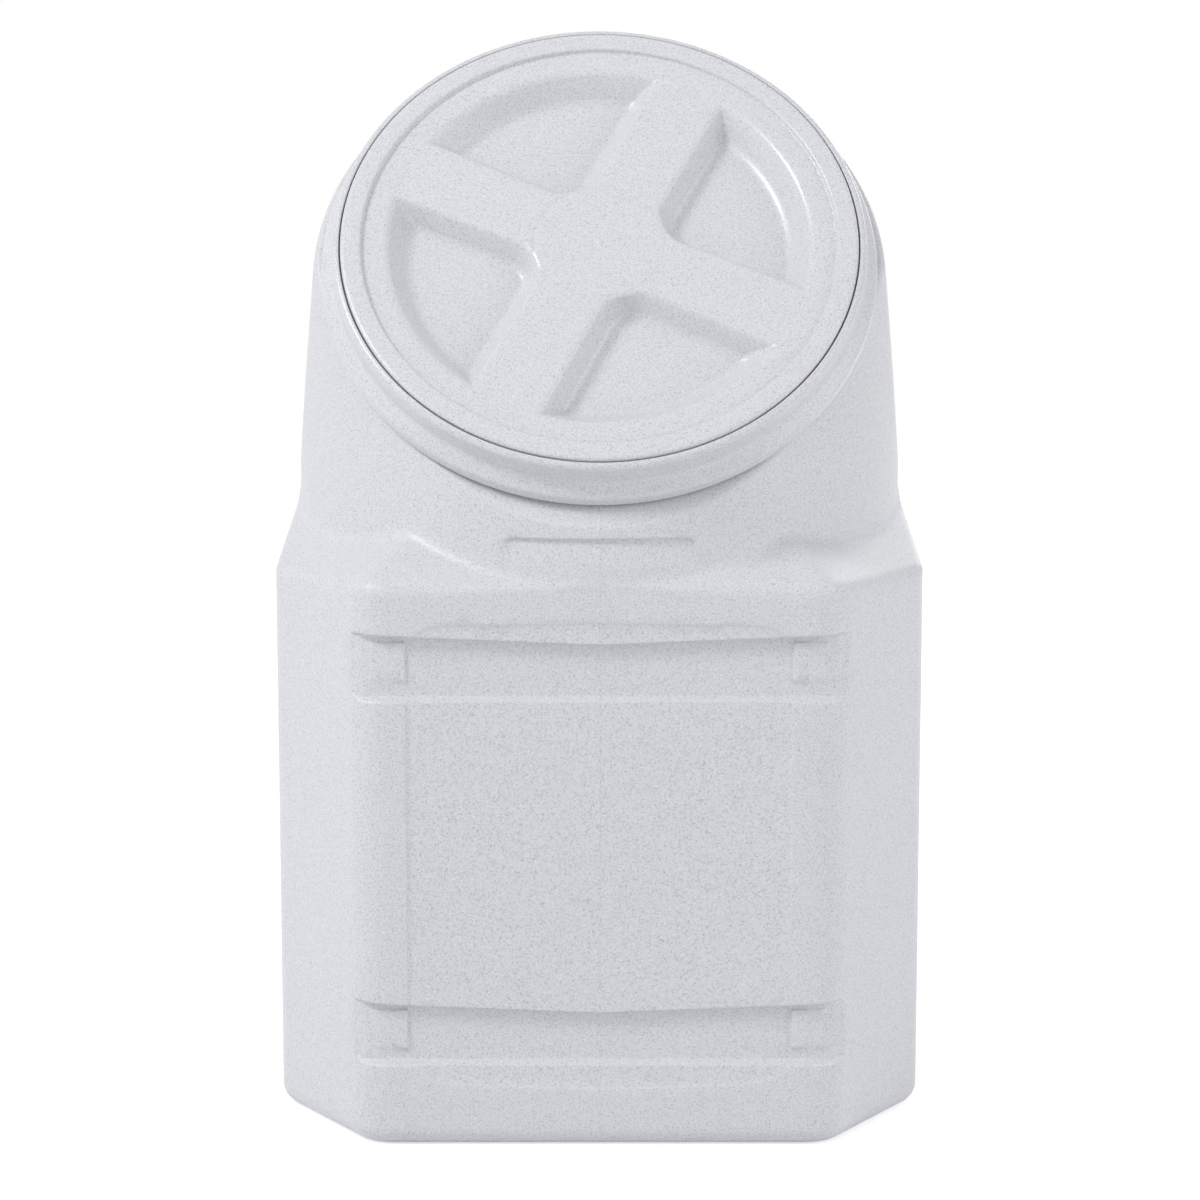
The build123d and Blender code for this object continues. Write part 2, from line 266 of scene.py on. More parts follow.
CHANNEL_LEVELS = ((231.5, 260.4), (43.0, 70.4))
CHANNEL_HALF = 125.0
CHANNEL_DEPTH = 5.0
CHANNEL_CORNER = 6.0
CHANNEL_EDGE = 1.0
CHANNEL_SLOPE = 0.4
CHANNEL_FADE = 0.8
CHANNEL_FADE_PLACE = (108.0, CHANNEL_HALF + 2.0)
TOP_EDGE_RISE = 0.04
PAD_INNER = 98.0
PAD_OUTER = 115.0
PAD_DROP = 3.0
PAD_HEIGHT = 20.5
PAD_THICKNESS = 1.5
PAD_EDGE = 0.6
PAD_FOOT = 0.3
LABEL_HALF = 97.3
LABEL_BOTTOM = 31.2
LABEL_TOP = 271.0
LABEL_CORNER = 17.0
LABEL_DEPTH = 0.65
LABEL_ARC_RADIUS = 1200.0
LABEL_EDGE = 0.5
GRIP_HALF = 48.0
GRIP_BOTTOM = 300.0
GRIP_TOP = 313.8
GRIP_DEPTH = 2.2
GRIP_CORNER = 4.0
GRIP_EDGE = 0.8
RIM_WIDTH = 34.0
BASE_RISE = 3.0
BASE_EDGE = 2.0
BASE_DROP = 40.0


def channel_field(x, depth, z, low, high, grow):
    """One channel across front and back: upper edge falling to the middle, ends running out."""
    across = np.abs(x)
    top = z - high - TOP_EDGE_RISE * across - grow
    foot = (low + CHANNEL_SLOPE * depth - z) / math.hypot(1.0, CHANNEL_SLOPE) - grow
    plan = round_max(CHANNEL_CORNER, across - CHANNEL_HALF - grow, foot)
    floor = CHANNEL_DEPTH * (1.0 - CHANNEL_FADE * ramp(across, *CHANNEL_FADE_PLACE)) + grow
    return reduce(np.maximum, (plan, top, depth - floor))


def front_details(field, x, y, z):
    """The pressed features of the front and the channels of the back."""
    front = y - FRONT_Y
    across = np.abs(x)
    depth = -field
    for low, high in CHANNEL_LEVELS:
        field = round_max(CHANNEL_EDGE, field, -channel_field(x, depth, z, low, high, 0.0))
        pad_top = high + TOP_EDGE_RISE * PAD_INNER - PAD_DROP
        pad = round_max(
            PAD_EDGE,
            PAD_INNER - across,
            across - PAD_OUTER,
            z - pad_top,
            pad_top - PAD_HEIGHT - z,
            CHANNEL_DEPTH - PAD_THICKNESS * (PAD_OUTER - across) / (PAD_OUTER - PAD_INNER) - front,
            front - CHANNEL_DEPTH - WALL / 2,
        )
        field = round_min(PAD_FOOT, field, pad)
    # The label panel's lower edge bows up to the sides, and its upper edge a third as much
    bow = x * x / (2.0 * LABEL_ARC_RADIUS)
    label = round_max(
        LABEL_CORNER, across - LABEL_HALF, z - LABEL_TOP + bow / 3, LABEL_BOTTOM + bow - z
    )
    label = np.maximum(label, front - LABEL_DEPTH)
    field = round_max(LABEL_EDGE, field, -label)
    sunk = ROUND_RADIUS - np.hypot(x, y - ROUND_Y)
    grip_depth = GRIP_DEPTH * (z - GRIP_BOTTOM) / (GRIP_TOP - GRIP_BOTTOM)
    grip = round_max(GRIP_CORNER, across - GRIP_HALF, z - GRIP_TOP, GRIP_BOTTOM - z)
    grip = reduce(np.maximum, (grip, sunk - grip_depth, y - ROUND_Y))
    return round_max(GRIP_EDGE, field, -grip)


class BaseShape:
    """Roundings of the raised middle of the base."""

    upright_radius = 48.0
    base_radius = 38.0
    shoulder_radius = 18.0


def body_field(x, y, z, sizes):
    """Outside of the container, with the neck spigot standing on its tilted shoulder."""
    field = front_details(form_field(x, y, z, 0.0, sizes), x, y, z)
    hollow, _ = box_field(x, y, z + BASE_DROP, RIM_WIDTH, BaseShape)
    field = round_max(BASE_EDGE, field, -np.maximum(hollow, z - BASE_RISE))
    across, up, level = lid_coordinates(x, y, z)
    radius = np.hypot(across, up)
    spigot = round_max(
        SPIGOT_EDGE, radius - SPIGOT_OUTSIDE, level + SPIGOT_TOP, -SHOULDER_LEVEL - WALL - level
    )
    bead = np.hypot(radius - SPIGOT_OUTSIDE, level + BEAD_LEVEL) - BEAD_HEIGHT
    return np.minimum(field, np.minimum(spigot, bead))


def cavity_field(x, y, z, sizes):
    """Inside of the container with the open throat."""
    field = form_field(x, y, z, WALL, sizes)
    depth = WALL - field
    for low, high in CHANNEL_LEVELS:
        channel = channel_field(x, depth, z, low, high, WALL)
        field = round_max(CHANNEL_EDGE + WALL, field, -channel)
    field = round_max(WALL, field, BASE_RISE + WALL - z)
    across, up, level = lid_coordinates(x, y, z)
    radius = np.hypot(across, up)
    throat = np.maximum(radius - SPIGOT_INSIDE, np.abs(level + SHOULDER_LEVEL) - SHOULDER_LEVEL)
    return np.minimum(field, throat)


# Lid, collar and seals: sizes across the tilted axis, levels down from the flange's top

FLANGE_RADIUS = 133.5
FLANGE_THICKNESS = 4.8
STEP_RADIUS = 122.8
STEP_DROP = 2.2
RECESS_RADIUS = 109.6
RING_DISH = 0.7
RECESS_FLOOR = 16.0
RECESS_FOOT = 3.0
RECESS_LIP = 1.8
FLOOR_RADIUS = 99.0
LID_WALL = 2.6
FLANGE_EDGE = 1.5
STEP_EDGE = 0.7
SKIRT_EDGE = 0.6
SKIRT_INSIDE = 119.5
SKIRT_OUTSIDE = 122.5
SKIRT_LENGTH = 27.5
HANDLE_TOP = 3.2
HANDLE_ANGLES = (math.radians(64.1), math.radians(-25.6))
ARM_HALF = 17.4
ARM_FLARE = math.tan(math.radians(0.75))
HUB_RADIUS = 34.7
HUB_DRAFT_SHARE = 0.7
HUB_LINE_HALF = 0.5
HUB_LINE_DEPTH = 0.35
HUB_CORNER = 6.0
GATE_RADIUS = 1.6
HANDLE_DRAFT = math.radians(31.0)
HANDLE_EDGE = 1.7
HANDLE_FOOT = 0.25
HANDLE_FOOT_GROWTH = 2.8
HANDLE_FOOT_REACH = 9.0
THREAD_LEAD = 12.0
THREAD_TURNS = 1.25
THREAD_HEIGHT = 2.0
THREAD_BASE = 4.5
THREAD_CREST = 2.5
THREAD_SINK = 0.3
THREAD_STEPS = 120
LID_THREAD_LOW = 23.5
COLLAR_THREAD_LOW = 24.2
COLLAR_BORE = SKIRT_OUTSIDE + THREAD_HEIGHT + 0.5
COLLAR_INNER = COLLAR_BORE + 2.5
SPIGOT_INSIDE = COLLAR_INNER + 0.4
SPIGOT_OUTSIDE = SPIGOT_INSIDE + 4.0
SEAT_LEVEL = FLANGE_THICKNESS + 0.8
WEB_UNDERSIDE = SEAT_LEVEL + 3.0
SEAL_HEIGHT = 2.6
SEAL_WIDTH = 3.5
SEAL_PLAY = 0.3
COLLAR_SEAL_HEIGHT = 2.5
COLLAR_SEAL_WIDTH = 3.2
SPIGOT_TOP = WEB_UNDERSIDE + COLLAR_SEAL_HEIGHT
SPIGOT_EDGE = 0.8
BEAD_LEVEL = 16.5
BEAD_HEIGHT = 1.3
COLLAR_BOTTOM = SHOULDER_LEVEL - 1.5
SKIRT_BORE = SPIGOT_OUTSIDE + 0.4
COLLAR_RADIUS = 138.0
RIM_RADIUS = FLANGE_RADIUS + 0.8
RIM_DROP = 1.5
FLARE_RADIUS = 144.5
FLARE_TOP = 15.0
FLARE_FOOT = 20.0
FLARE_WALL = 3.0
SEAL_RADIUS = (COLLAR_BORE + FLANGE_RADIUS) / 2
COLLAR_SEAL_RADIUS = (SPIGOT_INSIDE + SPIGOT_OUTSIDE) / 2
SEAL_ROUNDING = 0.35


def handle_sides(across, up, level):
    """Distance from the drafted sides of the cross, rounded where arms and hub meet."""
    depth = np.maximum(-HANDLE_TOP - level, 0.0)
    spread = depth * math.tan(HANDLE_DRAFT)
    bars = []
    for angle in HANDLE_ANGLES:
        along = np.abs(across * math.cos(angle) + up * math.sin(angle))
        aside = np.abs(up * math.cos(angle) - across * math.sin(angle))
        bars.append(aside - ARM_HALF - ARM_FLARE * along - spread)
    hub = np.hypot(across, up) - HUB_RADIUS - spread * HUB_DRAFT_SHARE
    return round_min(HUB_CORNER, bars[0], bars[1], hub) * math.cos(HANDLE_DRAFT)


def lid_field(across, up, level):
    """The whole lid in its own coordinates."""
    radius = np.hypot(across, up)
    slope = math.atan2(RECESS_FLOOR - STEP_DROP - RING_DISH, RECESS_RADIUS - FLOOR_RADIUS)
    wall = (radius - RECESS_RADIUS) * math.sin(slope)
    wall = wall - (level + STEP_DROP + RING_DISH) * math.cos(slope)
    bowl = round_max(RECESS_FOOT, wall, -RECESS_FLOOR - level)
    pan = round_max(RECESS_FOOT + LID_WALL, wall - LID_WALL, -RECESS_FLOOR - LID_WALL - level)
    flange = round_max(FLANGE_EDGE, radius - FLANGE_RADIUS, level, -FLANGE_THICKNESS - level)
    skirt = round_max(
        SKIRT_EDGE,
        radius - SKIRT_OUTSIDE,
        SKIRT_INSIDE - radius,
        -SKIRT_LENGTH - level,
        level + STEP_DROP,
    )
    solid = reduce(np.minimum, (flange, np.maximum(pan, level + STEP_DROP), skirt))
    dish = RING_DISH * np.clip((STEP_RADIUS - radius) / (STEP_RADIUS - RECESS_RADIUS), 0.0, 1.0)
    step = np.maximum(radius - STEP_RADIUS, -level - STEP_DROP - dish)
    solid = round_max(STEP_EDGE, solid, -step)
    solid = round_max(RECESS_LIP, solid, -bowl)
    sides = handle_sides(across, up, level)
    cross = round_max(HANDLE_EDGE, sides, level + HANDLE_TOP)
    cross = np.maximum(cross, radius - RECESS_RADIUS - LID_WALL)
    cross = np.maximum(cross, -RECESS_FLOOR - LID_WALL / 2 - level)
    # The handle's foot is sharp at the rim and rounder towards the floor
    deeper = ramp(-level, HANDLE_TOP, HANDLE_TOP + HANDLE_FOOT_REACH)
    solid = round_min(HANDLE_FOOT + HANDLE_FOOT_GROWTH * deeper, solid, cross)
    # A fine line round the hub, and the moulding gate's low dot in its middle
    hub_line = np.abs(radius - HUB_RADIUS + 0.6) - HUB_LINE_HALF
    solid = np.maximum(solid, -np.maximum(hub_line, -level - HANDLE_TOP - HUB_LINE_DEPTH))
    gate = np.hypot(radius, (level + HANDLE_TOP) * 2.0) - GATE_RADIUS
    solid = round_min(0.5, solid, gate)
    # The handle is hollow from below, and the seal sits in a groove under the flange
    hollow = reduce(np.maximum, (
        sides + LID_WALL,
        level + HANDLE_TOP + LID_WALL,
        radius - FLOOR_RADIUS,
        -RECESS_FLOOR - 2 * LID_WALL - level,
    ))
    solid = np.maximum(solid, -hollow)
    groove = np.maximum(
        np.abs(radius - SEAL_RADIUS) - SEAL_WIDTH / 2 - SEAL_PLAY, level + SEAT_LEVEL - SEAL_HEIGHT
    )
    return np.maximum(solid, -groove)


# Meshing of fields

SLAB = 24
PROBE = 0.02
ARC_STEP = math.radians(15.0)
CUBE_CORNERS = [(i, j, k) for i in (0, 1) for j in (0, 1) for k in (0, 1)]
CUBE_EDGES = [
    (a, b) for a in CUBE_CORNERS for b in CUBE_CORNERS
    if a < b and sum(abs(p - q) for p, q in zip(a, b)) == 1
]


def sample_field(field, axes):
    """Values of the field on the grid of the three axes, in slabs to save memory."""
    x, y, z = axes
    values = np.empty((len(x), len(y), len(z)), np.float32)
    for start in range(0, len(z), SLAB):
        part = slice(start, start + SLAB)
        places = np.meshgrid(x, y, z[part], indexing="ij", copy=False)
        values[:, :, part] = field(*(place.astype(np.float32) for place in places))
    return values


def surface_net(field, axes):
    """Points and quads of the field's zero surface, one point in each cell that it crosses."""
    values = sample_field(field, axes)
    inside = values < 0.0
    shape = tuple(n - 1 for n in values.shape)
    count = np.zeros(shape, np.int8)
    for i, j, k in CUBE_CORNERS:
        count += inside[i:i + shape[0], j:j + shape[1], k:k + shape[2]]
    active = (count > 0) & (count < 8)
    cells = np.argwhere(active)
    index = np.full(shape, -1, np.int64)
    index[active] = np.arange(len(cells))
    total = np.zeros((len(cells), 3))
    crossings = np.zeros(len(cells))
    for a, b in CUBE_EDGES:
        ia = cells + np.array(a)
        ib = cells + np.array(b)
        va = values[ia[:, 0], ia[:, 1], ia[:, 2]].astype(float)
        vb = values[ib[:, 0], ib[:, 1], ib[:, 2]].astype(float)
        crossed = (va < 0.0) != (vb < 0.0)
        share = np.where(crossed, va / np.where(crossed, va - vb, 1.0), 0.0)
        for n, axis in enumerate(axes):
            low = axis[ia[:, n]]
            total[:, n] += crossed * (low + share * (axis[ib[:, n]] - low))
        crossings += crossed
    points = total / crossings[:, None]
    quads = []
    for n in range(3):
        step = [0, 0, 0]
        step[n] = 1
        first = inside[:values.shape[0] - step[0], :values.shape[1] - step[1],
                       :values.shape[2] - step[2]]
        second = inside[step[0]:, step[1]:, step[2]:]
        u, v = [m for m in range(3) if m != n]
        for outward in (True, False):
            edges = np.argwhere(first & ~second if outward else ~first & second)
            keep = (edges[:, u] > 0) & (edges[:, v] > 0)
            keep &= (edges[:, u] < shape[u]) & (edges[:, v] < shape[v])
            edges = edges[keep]
            ring = []
            for du, dv in ((-1, -1), (0, -1), (0, 0), (-1, 0)):
                cell = edges.copy()
                cell[:, u] += du
                cell[:, v] += dv
                ring.append(index[cell[:, 0], cell[:, 1], cell[:, 2]])
            if outward == (n == 1):
                ring.reverse()
            quads.append(np.stack(ring, axis=1))
    return points, np.concatenate(quads)


def settle_on(field, points, reach, steps=3):
    """Moves points onto the field's zero surface, each by at most reach."""
    start = points.copy()
    for _ in range(steps):
        value = field(points[:, 0], points[:, 1], points[:, 2])
        slope = np.empty_like(points)
        for n in range(3):
            shifted = points.copy()
            shifted[:, n] += PROBE
            back = points.copy()
            back[:, n] -= PROBE
            slope[:, n] = (field(*shifted.T) - field(*back.T)) / (2 * PROBE)
        strength = np.maximum((slope ** 2).sum(1), 0.2)
        points = points - slope * (value / strength)[:, None]
        points = start + np.clip(points - start, -reach, reach)
    return points


def mesh_object(name, points, faces):
    """A smooth-shaded object from points in millimetres and faces."""
    mesh = bpy.data.meshes.new(name)
    points = np.asarray(points, np.float32) * MILLIMETRE
    faces = np.asarray(faces, np.int32)
    corners = faces.shape[1]
    mesh.vertices.add(len(points))
    mesh.vertices.foreach_set("co", points.ravel())
    mesh.loops.add(faces.size)
    mesh.loops.foreach_set("vertex_index", faces.ravel())
    mesh.polygons.add(len(faces))
    mesh.polygons.foreach_set("loop_start", np.arange(0, faces.size, corners, dtype=np.int32))
    mesh.update(calc_edges=True)
    mesh.validate()
    mesh.shade_smooth()
    made = bpy.data.objects.new(name, mesh)
    bpy.context.scene.collection.objects.link(made)
    return made


def bake_modifiers(made):
    """Replaces the object's mesh by its evaluated one and drops the modifiers."""
    bpy.context.view_layer.update()
    evaluated = made.evaluated_get(bpy.context.evaluated_depsgraph_get())
    mesh = bpy.data.meshes.new_from_object(evaluated)
    mesh.name = made.name
    made.modifiers.clear()
    made.data = mesh


def thin_out(made, triangles):
    """Collapses edges where the surface is nearly flat, down to a number of triangles."""
    total = sum(len(p.vertices) - 2 for p in made.data.polygons)
    if total > triangles:
        modifier = made.modifiers.new("thin", "DECIMATE")
        modifier.ratio = triangles / total
        bake_modifiers(made)


def read_points(made):
    """The points of the object's mesh, one in each row."""
    points = np.empty(len(made.data.vertices) * 3)
    made.data.vertices.foreach_get("co", points)
    return points.reshape(-1, 3)


def write_points(made, points):
    """Moves the points of the object's mesh to places in millimetres."""
    made.data.vertices.foreach_set("co", (points * MILLIMETRE).astype(np.float32).ravel())
    made.data.update()


def settle_object(made, field, reach):
    """Puts the object's points back onto the field after thinning."""
    write_points(made, settle_on(field, read_points(made) / MILLIMETRE, reach))


def cut_away(made, cutter):
    """Takes the cutter's space out of the object."""
    modifier = made.modifiers.new("cut", "BOOLEAN")
    modifier.operation = "DIFFERENCE"
    modifier.solver = "MANIFOLD"
    modifier.object = cutter
    bake_modifiers(made)
    bpy.data.objects.remove(cutter)


def lid_to_frame(points):
    """Points in the lid's own coordinates put into the frame, in millimetres."""
    points = np.asarray(points, float)
    placed = LID_CENTRE + np.outer(points[:, 1], LID_UP) + np.outer(points[:, 2], LID_NORMAL)
    placed[:, 0] += points[:, 0]
    return placed


def rounded_profile(corners):
    """A closed outline of (radius, level, rounding) corners with its roundings as arcs."""
    outline = []
    count = len(corners)
    for n, (radius, level, rounding) in enumerate(corners):
        here = np.array([radius, level])
        before = np.array(corners[n - 1][:2]) - here
        after = np.array(corners[(n + 1) % count][:2]) - here
        before = before / np.linalg.norm(before)
        after = after / np.linalg.norm(after)
        if rounding <= 0.0:
            outline.append(here)
            continue
        half = math.acos(np.clip(before @ after, -1.0, 1.0)) / 2
        back = rounding / math.tan(half)
        centre_way = (before + after) / np.linalg.norm(before + after)
        centre = here + centre_way * rounding / math.sin(half)
        start = here + before * back - centre
        end = here + after * back - centre
        turn = math.atan2(start[0] * end[1] - start[1] * end[0], start @ end)
        steps = max(2, math.ceil(abs(turn) / ARC_STEP))
        for s in range(steps + 1):
            angle = turn * s / steps
            c, w = math.cos(angle), math.sin(angle)
            turned = np.array([start[0] * c - start[1] * w, start[0] * w + start[1] * c])
            outline.append(centre + turned)
    return np.array(outline)


def turned_ring(name, corners, steps):
    """A ring turned about the lid's axis from its outline, levels counted upwards."""
    outline = rounded_profile(corners)
    angles = np.linspace(0.0, 2 * math.pi, steps, endpoint=False)
    points = [(r * math.cos(a), r * math.sin(a), h) for a in angles for r, h in outline]
    count = len(outline)
    quads = []
    for s in range(steps):
        t = (s + 1) % steps
        for n in range(count):
            m = (n + 1) % count
            quads.append((s * count + n, t * count + n, t * count + m, s * count + m))
    made = mesh_object(name, lid_to_frame(points), quads)
    face_outwards(made)
    return made


def face_outwards(made):
    """Turns the faces of a closed mesh outwards by the sign of its volume."""
    mesh = made.data
    mesh.calc_loop_triangles()
    points = np.array([v.co for v in mesh.vertices])
    triangles = np.array([t.vertices for t in mesh.loop_triangles])
    a, b, c = (points[triangles[:, n]] for n in range(3))
    if (a * np.cross(b, c)).sum() < 0.0:
        mesh.flip_normals()


# Thread ridges by geometry nodes: a ridge's outline swept along a helix, within its wall

def thread_tree():
    """Node tree that sweeps the ridge's outline along a helix."""
    tree = bpy.data.node_groups.new("thread_ridge", "GeometryNodeTree")
    interface = tree.interface
    for name in ("Radius", "Lead", "Turns", "Height", "Base width", "Crest width", "Sink"):
        interface.new_socket(name=name, in_out="INPUT", socket_type="NodeSocketFloat")
    interface.new_socket(name="Steps", in_out="INPUT", socket_type="NodeSocketInt")
    interface.new_socket(name="Material", in_out="INPUT", socket_type="NodeSocketMaterial")
    interface.new_socket(name="Geometry", in_out="OUTPUT", socket_type="NodeSocketGeometry")
    nodes, links = tree.nodes, tree.links

    def node(kind, **settings):
        made = nodes.new(kind)
        for key, value in settings.items():
            setattr(made, key, value)
        return made

    given = node("NodeGroupInput").outputs

    def maths(operation, a, b):
        made = node("ShaderNodeMath", operation=operation)
        for socket, value in zip(made.inputs, (a, b)):
            if isinstance(value, (int, float)):
                socket.default_value = value
            else:
                links.new(value, socket)
        return made.outputs[0]

    spiral = node("GeometryNodeCurveSpiral")
    links.new(given["Steps"], spiral.inputs["Resolution"])
    links.new(given["Turns"], spiral.inputs["Rotations"])
    links.new(given["Radius"], spiral.inputs["Start Radius"])
    links.new(given["Radius"], spiral.inputs["End Radius"])
    links.new(maths("MULTIPLY", given["Lead"], given["Turns"]), spiral.inputs["Height"])
    spiral.inputs["Reverse"].default_value = False
    level = node("GeometryNodeSetCurveNormal", mode="Z_UP")
    links.new(spiral.outputs["Curve"], level.inputs["Curve"])
    outline = node("GeometryNodeCurvePrimitiveQuadrilateral", mode="POINTS")
    corners = (
        ("Sink", -1, "Base width", -1),
        ("Sink", -1, "Base width", 1),
        ("Height", 1, "Crest width", 1),
        ("Height", 1, "Crest width", -1),
    )
    for n, (out, out_sign, width, width_sign) in enumerate(corners):
        point = node("ShaderNodeCombineXYZ")
        links.new(maths("MULTIPLY", given[out], out_sign), point.inputs["X"])
        links.new(maths("MULTIPLY", given[width], width_sign / 2), point.inputs["Y"])
        links.new(point.outputs[0], outline.inputs[f"Point {n + 1}"])
    swept = node("GeometryNodeCurveToMesh")
    links.new(level.outputs["Curve"], swept.inputs["Curve"])
    links.new(outline.outputs["Curve"], swept.inputs["Profile Curve"])
    swept.inputs["Fill Caps"].default_value = True
    realize = node("GeometryNodeRealizeInstances")
    links.new(swept.outputs["Mesh"], realize.inputs["Geometry"])
    dressed = node("GeometryNodeSetMaterial")
    links.new(realize.outputs["Geometry"], dressed.inputs["Geometry"])
    links.new(given["Material"], dressed.inputs["Material"])
    links.new(dressed.outputs["Geometry"], node("NodeGroupOutput").inputs["Geometry"])
    return tree


def thread_ridge(name, radius, height, low, start_angle, material):
    """A left-hand ridge that stands in from the radius, or out from it if height is negative."""
    tree = bpy.data.node_groups.get("thread_ridge") or thread_tree()
    holder = bpy.data.objects.new(name, bpy.data.meshes.new(name))
    bpy.context.scene.collection.objects.link(holder)
    modifier = holder.modifiers.new("thread", "NODES")
    modifier.node_group = tree
    values = {
        "Radius": radius, "Lead": THREAD_LEAD, "Turns": THREAD_TURNS, "Height": height,
        "Base width": THREAD_BASE, "Crest width": THREAD_CREST,
        "Sink": math.copysign(THREAD_SINK, height), "Steps": THREAD_STEPS, "Material": material,
    }
    for item in tree.interface.items_tree:
        if item.in_out == "INPUT":
            modifier[item.identifier] = values[item.name]
    bake_modifiers(holder)
    across, up, level = read_points(holder).T
    c, s = math.cos(start_angle), math.sin(start_angle)
    turned = np.stack((across * c - up * s, across * s + up * c, level - low), axis=1)
    write_points(holder, lid_to_frame(turned))
    face_outwards(holder)
    return holder


# Materials

PALE_SPECK = (0.86, 0.87, 0.88, 1.0)
SEAM_HALF = 0.0009


class Value:
    """A node socket that Python operators turn into Math nodes."""

    def __init__(self, shader, socket):
        self.shader = shader
        self.socket = socket

    def beside(self, name):
        """Another output of the same node."""
        return Value(self.shader, self.socket.node.outputs[name])

    def _maths(self, operation, a, b):
        return self.shader.node("ShaderNodeMath", {"operation": operation}, {0: a, 1: b})

    def __add__(self, other):
        return self._maths("ADD", self, other)

    def __radd__(self, other):
        return self._maths("ADD", other, self)

    def __mul__(self, other):
        return self._maths("MULTIPLY", self, other)

    def __rmul__(self, other):
        return self._maths("MULTIPLY", other, self)


class Shader:
    """The node tree of a material or world, with the shader node that it starts with."""

    def __init__(self, owner, kind="BSDF_PRINCIPLED"):
        owner.use_nodes = True
        self.tree = owner.node_tree
        self.surface = next(n for n in self.tree.nodes if n.type == kind)

    def node(self, kind, settings=None, sockets=None, output=0):
        """Adds a node: its settings are set first, then its sockets' values or links."""
        made = self.tree.nodes.new(kind)
        for key, value in (settings or {}).items():
            if key == "stops":
                ramp_stops = made.color_ramp.elements
                while len(ramp_stops) < len(value):
                    ramp_stops.new(0.5)
                for stop, (position, grey) in zip(ramp_stops, value):
                    stop.position = position
                    stop.color = (grey, grey, grey, 1.0)
            else:
                setattr(made, key, value)
        for key, value in (sockets or {}).items():
            self.connect(value, made.inputs[key])
        return Value(self, made.outputs[output])

    def blend(self, factor, first, second):
        """One colour that gives way to another by the factor."""
        ends = {0: factor, 6: first, 7: second}
        return self.node("ShaderNodeMix", {"data_type": "RGBA"}, ends, output=2)

    def noise(self, place, scale, detail, **others):
        """Noise of about 0.5 on a place."""
        sockets = {"Vector": place, "Scale": scale, "Detail": detail, **others}
        return self.node("ShaderNodeTexNoise", {}, sockets)

    def seen_directly(self):
        """1 for rays from the camera, a gloss or a clear piece, and 0 for those that light."""
        path = self.node("ShaderNodeLightPath", output="Is Camera Ray")
        return path + path.beside("Is Glossy Ray") + path.beside("Is Transmission Ray")

    def connect(self, value, socket):
        """Links a Value to the socket, or sets anything else on it."""
        if isinstance(value, Value):
            self.tree.links.new(value.socket, socket)
        else:
            socket.default_value = value

    def feed(self, **inputs):
        """Sets or links the surface's own sockets; underscores stand for spaces."""
        for key, value in inputs.items():
            self.connect(value, self.surface.inputs[key.replace("_", " ")])


def speckled_plastic(name, finish, roughness, grain, lighter=1.0, seam=False):
    """Pale grey plastic with fine dark and light specks all through it."""
    material = bpy.data.materials.new(name)
    shader = Shader(material)
    place = shader.node("ShaderNodeTexCoord", output="Object")
    density = 1.0 / finish.speck_size

    def specks(scale, low, high, shift):
        """1 inside the specks, 0 between them; each kind has its own shift of the pattern."""
        shifted = shader.node(
            "ShaderNodeMapping", {}, {"Vector": place, "Location": (shift, shift, shift)}
        )
        noise = shader.noise(shifted, scale, 2.0, Roughness=0.6)
        stops = ((low, 0.0), (high, 1.0))
        return shader.node("ShaderNodeValToRGB", {"stops": stops}, {"Fac": noise})

    dark = specks(density, 0.50, 0.68, 0.0)
    sparse = specks(density * 0.7, 0.60, 0.72, 3.1)
    pale = specks(density * 0.8, 0.54, 0.72, 7.7)
    broad = shader.noise(place, 9.0, 2.0)
    base = (*[c * lighter for c in finish.base_colour], 1.0)
    speck = (*finish.speck_colour, 1.0)
    colour = shader.blend(dark * 0.50 + sparse * 0.42, base, speck)
    colour = shader.blend(pale * 0.42, colour, PALE_SPECK)
    sockets = {"Strength": 0.25, "Distance": 0.00012, "Height": shader.noise(place, grain, 3.0)}
    bump = shader.node("ShaderNodeBump", {}, sockets)
    if seam:
        x = shader.node("ShaderNodeSeparateXYZ", {}, {"Vector": place})
        away = shader.node("ShaderNodeMath", {"operation": "ABSOLUTE"}, {0: x})
        line = shader.node(
            "ShaderNodeMapRange", {},
            {"Value": away, "From Min": 0.0, "From Max": SEAM_HALF, "To Min": 1.0, "To Max": 0.0},
        )
        sockets = {"Strength": 0.7, "Distance": 0.00035, "Height": line, "Normal": bump}
        bump = shader.node("ShaderNodeBump", {}, sockets)
    shader.feed(
        Base_Color=colour,
        Roughness=broad * 0.10 + (roughness - 0.05),
        Normal=bump,
        IOR=1.5,
    )
    return material


def seal_rubber(finish):
    """Soft dark rubber with a dusty, uneven sheen."""
    material = bpy.data.materials.new("seal_rubber")
    shader = Shader(material)
    place = shader.node("ShaderNodeTexCoord", output="Object")
    dust = shader.noise(place, 240.0, 4.0)
    dark = finish.rubber_colour
    dusty = (*[c * 2.4 for c in dark], 1.0)
    colour = shader.blend(dust * 0.5, (*dark, 1.0), dusty)
    sockets = {"Strength": 0.2, "Distance": 0.0002, "Height": dust}
    bump = shader.node("ShaderNodeBump", {}, sockets)
    shader.feed(Base_Color=colour, Roughness=dust * 0.2 + 0.5, Normal=bump)
    return material


def finish_piece(made, body, node, material):
    """Gives a finished piece its material and body, and hides the CAD node it stands for."""
    made.data.materials.clear()
    made.data.materials.append(material)
    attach(made, body)
    if node:
        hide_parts(node)


BODY_TRIANGLES = 150000
LID_TRIANGLES = 190000


